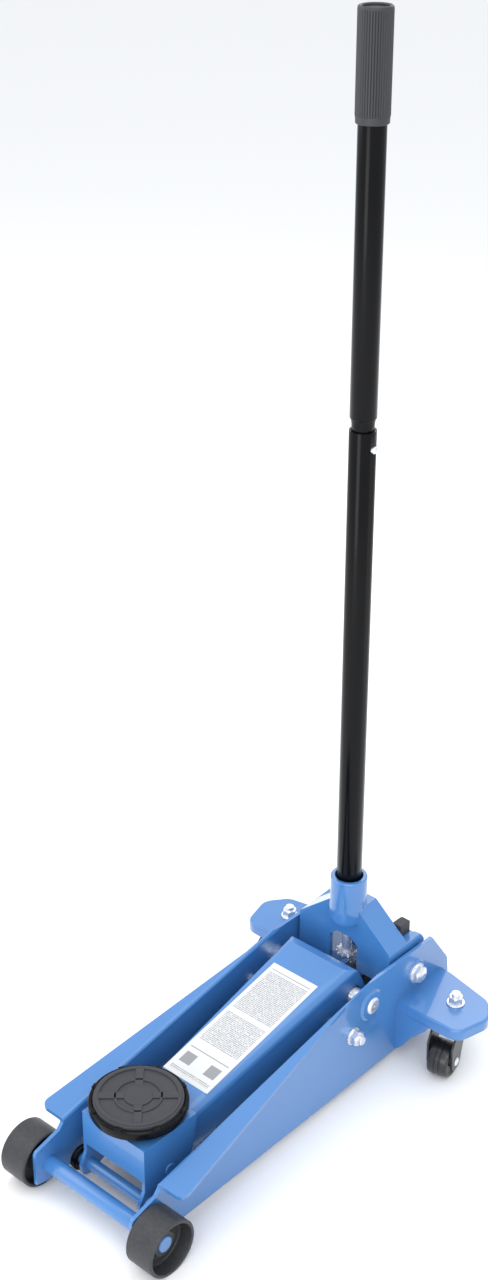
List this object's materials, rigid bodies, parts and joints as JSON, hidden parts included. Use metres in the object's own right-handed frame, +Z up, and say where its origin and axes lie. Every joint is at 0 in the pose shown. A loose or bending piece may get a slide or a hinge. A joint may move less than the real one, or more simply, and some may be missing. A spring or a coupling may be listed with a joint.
{
  "type": "hydraulic trolley jack",
  "caption": "Low trolley jack that lifts a car on a level rubber-padded saddle: a hydraulic ram raises the arm when the long tilting handle is pumped; rolls on wheels and castors.",
  "frame": {"origin": "on the floor under the middle of the jack's overall box", "axes": "+Z up, -Y towards the saddle and front wheels, +X towards the jack's left side"},
  "size_m": [0.4016, 0.6459, 1.395],
  "materials": {
    "blue_enamel": "gloss enamel",
    "black_enamel": "gloss enamel",
    "wheel_iron": "grainy semi-matte paint",
    "castor_black": "satin black",
    "zinc_plate": "bright zinc plate",
    "dark_steel": "oiled steel",
    "chrome_rod": "hard chrome",
    "unit_casting": "satin black paint on casting",
    "bronze_bush": "oiled bronze",
    "pad_rubber": "moulded rubber",
    "grip_rubber": "ribbed matte rubber",
    "label_film": "satin printed film"
  },
  "bodies": {
    "frame": {"left_side_plate": "blue_enamel", "right_side_plate": "blue_enamel", "front_axle": "blue_enamel", "front_axle_clips": "dark_steel", "left_castor_bracket": "blue_enamel", "right_castor_bracket": "blue_enamel", "castor_studs": "zinc_plate", "castor_stud_nuts": "zinc_plate", "castor_bearing_caps": "zinc_plate", "arm_pivot_shaft": "zinc_plate", "link_anchor_studs": "zinc_plate", "link_anchor_nuts": "zinc_plate", "yoke_pivot_bolts": "zinc_plate", "yoke_thrust_washers": "zinc_plate", "ram_gland_nut": "unit_casting", "hydraulic_tank": "unit_casting", "filler_plug": "pad_rubber", "pump_block": "unit_casting", "rear_cross_brace": "blue_enamel", "tank_saddle_foot": "blue_enamel", "unit_mounting_bolts": "zinc_plate", "plunger_spring": "dark_steel"},
    "front_wheel_left": {"left_front_wheel": "wheel_iron"},
    "front_wheel_right": {"right_front_wheel": "wheel_iron"},
    "castor_left": {"left_castor_fork": "castor_black", "left_castor_axle_rivet": "zinc_plate"},
    "castor_right": {"right_castor_fork": "castor_black", "right_castor_axle_rivet": "zinc_plate"},
    "castor_wheel_left": {"left_castor_wheel": "castor_black"},
    "castor_wheel_right": {"right_castor_wheel": "castor_black"},
    "lift_arm": {"lift_arm": "blue_enamel", "arm_pivot_bushes": "bronze_bush", "ram_lever_pin": "dark_steel", "data_label": "label_film"},
    "saddle_carrier": {"saddle_carrier": "blue_enamel", "saddle_pivot_pin": "blue_enamel", "leveling_rod": "blue_enamel"},
    "saddle": {"saddle_cup": "black_enamel", "saddle_pad": "pad_rubber", "saddle_stem_clip": "dark_steel"},
    "level_links": {"left_level_link": "black_enamel", "right_level_link": "black_enamel"},
    "ram": {"ram_rod": "chrome_rod", "ram_crosshead": "dark_steel"},
    "yoke": {"handle_yoke": "blue_enamel", "pump_roller_pin": "dark_steel", "handle_buffer_block": "pad_rubber", "buffer_ledge": "blue_enamel"},
    "pump_roller": {"pump_roller": "dark_steel"},
    "handle": {"handle_lower_tube": "black_enamel", "handle_upper_tube": "black_enamel", "handle_grip": "grip_rubber", "release_drive_gear": "zinc_plate"},
    "snap_button": {"handle_snap_button": "zinc_plate"},
    "release_gear": {"release_cross_gear": "zinc_plate"},
    "pump_plunger": {"pump_plunger": "dark_steel"}
  },
  "joints": [
    {"name": "arm_lift", "type": "hinge", "parent": "frame", "child": "lift_arm", "pos_m": [0, 0.146, 0.123], "axis": [-1, 0, 0], "range_deg": [0, 62]},
    {"name": "carrier_level", "type": "hinge", "parent": "lift_arm", "child": "saddle_carrier", "pos_m": [0, -0.208, 0.061], "axis": [-1, 0, 0], "range_deg": [-62, 0]},
    {"name": "saddle_swivel", "type": "hinge", "parent": "saddle_carrier", "child": "saddle", "pos_m": [0, -0.206, 0.118], "axis": [0, 0, 1], "continuous": true},
    {"name": "link_lift", "type": "hinge", "parent": "frame", "child": "level_links", "pos_m": [0, 0.1075, 0.0943], "axis": [-1, 0, 0], "range_deg": [0, 62]},
    {"name": "ram_stroke", "type": "slide", "parent": "frame", "child": "ram", "axis": [0, -1, 0], "range_m": [0, 0.0567]},
    {"name": "yoke_tilt", "type": "hinge", "parent": "frame", "child": "yoke", "pos_m": [0, 0.243, 0.122], "axis": [-1, 0, 0], "range_deg": [0, 75]},
    {"name": "pump_stroke", "type": "slide", "parent": "frame", "child": "pump_plunger", "axis": [0, 0, -1], "range_m": [0, 0.0294], "deforming": ["plunger_spring"]},
    {"name": "roller_spin", "type": "hinge", "parent": "yoke", "child": "pump_roller", "pos_m": [0.045, 0.26204, 0.13661], "axis": [1, 0, 0], "continuous": true},
    {"name": "handle_twist", "type": "hinge", "parent": "yoke", "child": "handle", "pos_m": [0, 0.201, 0.3], "axis": [0, 0, 1], "range_deg": [0, 270]},
    {"name": "release_gear_spin", "type": "hinge", "parent": "yoke", "child": "release_gear", "pos_m": [0, 0.216, 0.121], "axis": [0, 1, 0], "range_deg": [-270, 0]},
    {"name": "snap_press", "type": "slide", "parent": "handle", "child": "snap_button", "axis": [-1, 0, 0], "range_m": [0, 0.005], "stiffness_N_per_m": 600, "springref_m": -0.002},
    {"name": "left_wheel_spin", "type": "hinge", "parent": "frame", "child": "front_wheel_left", "pos_m": [0.1115, -0.285, 0.038], "axis": [1, 0, 0], "continuous": true},
    {"name": "right_wheel_spin", "type": "hinge", "parent": "frame", "child": "front_wheel_right", "pos_m": [-0.1115, -0.285, 0.038], "axis": [1, 0, 0], "continuous": true},
    {"name": "left_castor_swivel", "type": "hinge", "parent": "frame", "child": "castor_left", "pos_m": [0.149, 0.254, 0.08], "axis": [0, 0, 1], "continuous": true},
    {"name": "left_castor_roll", "type": "hinge", "parent": "castor_left", "child": "castor_wheel_left", "pos_m": [0.15565, 0.2227, 0.025], "axis": [0.9781, 0.2079, 0], "continuous": true},
    {"name": "right_castor_swivel", "type": "hinge", "parent": "frame", "child": "castor_right", "pos_m": [-0.149, 0.254, 0.08], "axis": [0, 0, 1], "continuous": true},
    {"name": "right_castor_roll", "type": "hinge", "parent": "castor_right", "child": "castor_wheel_right", "pos_m": [-0.15565, 0.2227, 0.025], "axis": [0.9781, -0.2079, 0], "continuous": true}
  ],
  "couplings": [
    {"joint": "carrier_level", "follows": "arm_lift", "ratio": -1},
    {"joint": "link_lift", "follows": "arm_lift", "ratio": 1},
    {"joint": "ram_stroke", "follows": "arm_lift", "m_per_rad": 0.052356},
    {"joint": "pump_stroke", "follows": "yoke_tilt", "m_per_rad": 0.022323},
    {"joint": "release_gear_spin", "follows": "handle_twist", "ratio": -1}
  ]
}
